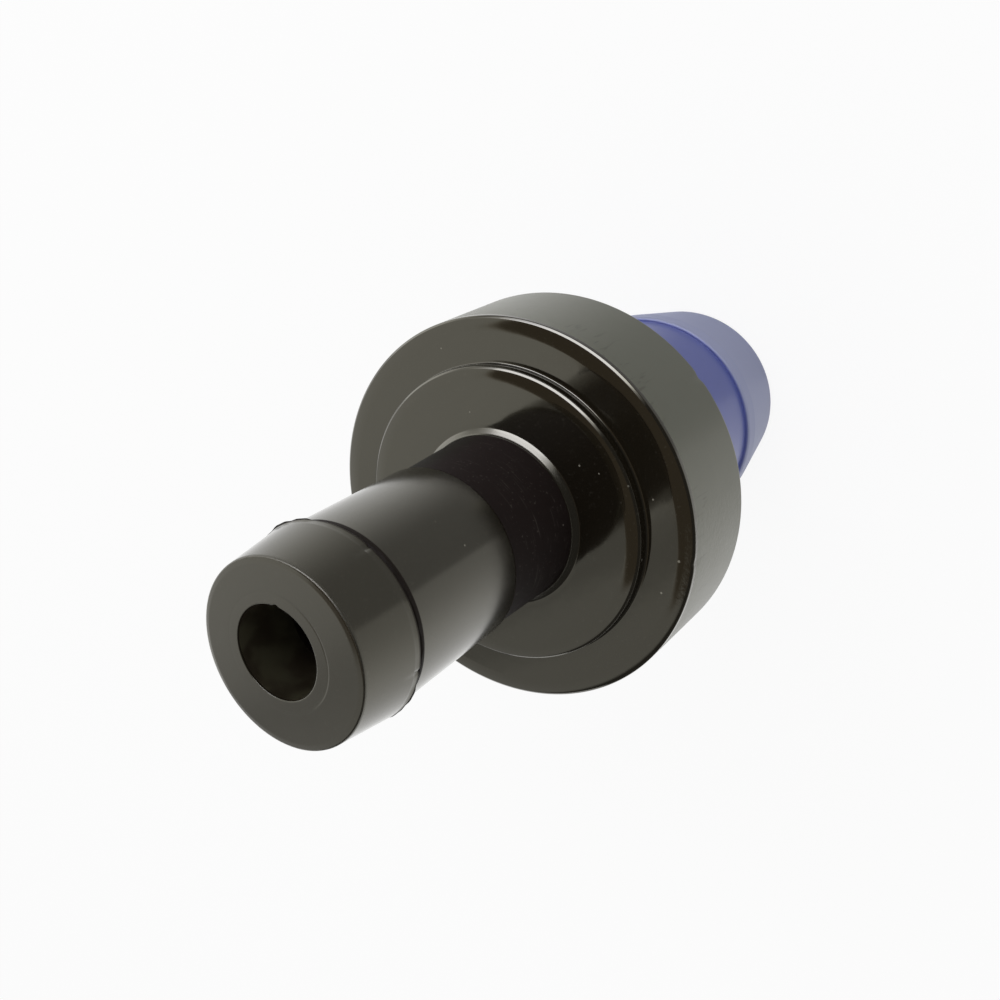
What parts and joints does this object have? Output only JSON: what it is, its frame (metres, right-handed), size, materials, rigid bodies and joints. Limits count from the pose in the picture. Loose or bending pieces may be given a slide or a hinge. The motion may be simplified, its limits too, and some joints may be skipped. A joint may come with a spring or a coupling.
{
  "type": "pcv valve",
  "caption": "Inline crankcase ventilation valve: black barbed hose nipple and round drum, blue grommet snout, sprung plunger inside.",
  "frame": {"origin": "middle of the flat inlet end, which the valve stands on", "axes": "+Z along the valve's axis, from the inlet end to the outlet nipple"},
  "size_m": [0.0284, 0.0284, 0.0575],
  "materials": {
    "black_nylon": "satin moulded black nylon with fine scuffs",
    "blue_nylon": "satin moulded blue nylon",
    "turned_steel": "fine turned, plated",
    "spring_steel": "drawn spring wire"
  },
  "bodies": {
    "housing": {"outlet_body": "black_nylon", "inlet_cap": "blue_nylon", "plunger_spring": "spring_steel"},
    "plunger": {"plunger": "turned_steel"}
  },
  "joints": [
    {"name": "plunger_slide", "type": "slide", "parent": "housing", "child": "plunger", "axis": [0, 0, 1], "range_m": [0, 0.007], "stiffness_N_per_m": 100, "springref_m": -0.004, "deforming": ["plunger_spring"]}
  ]
}
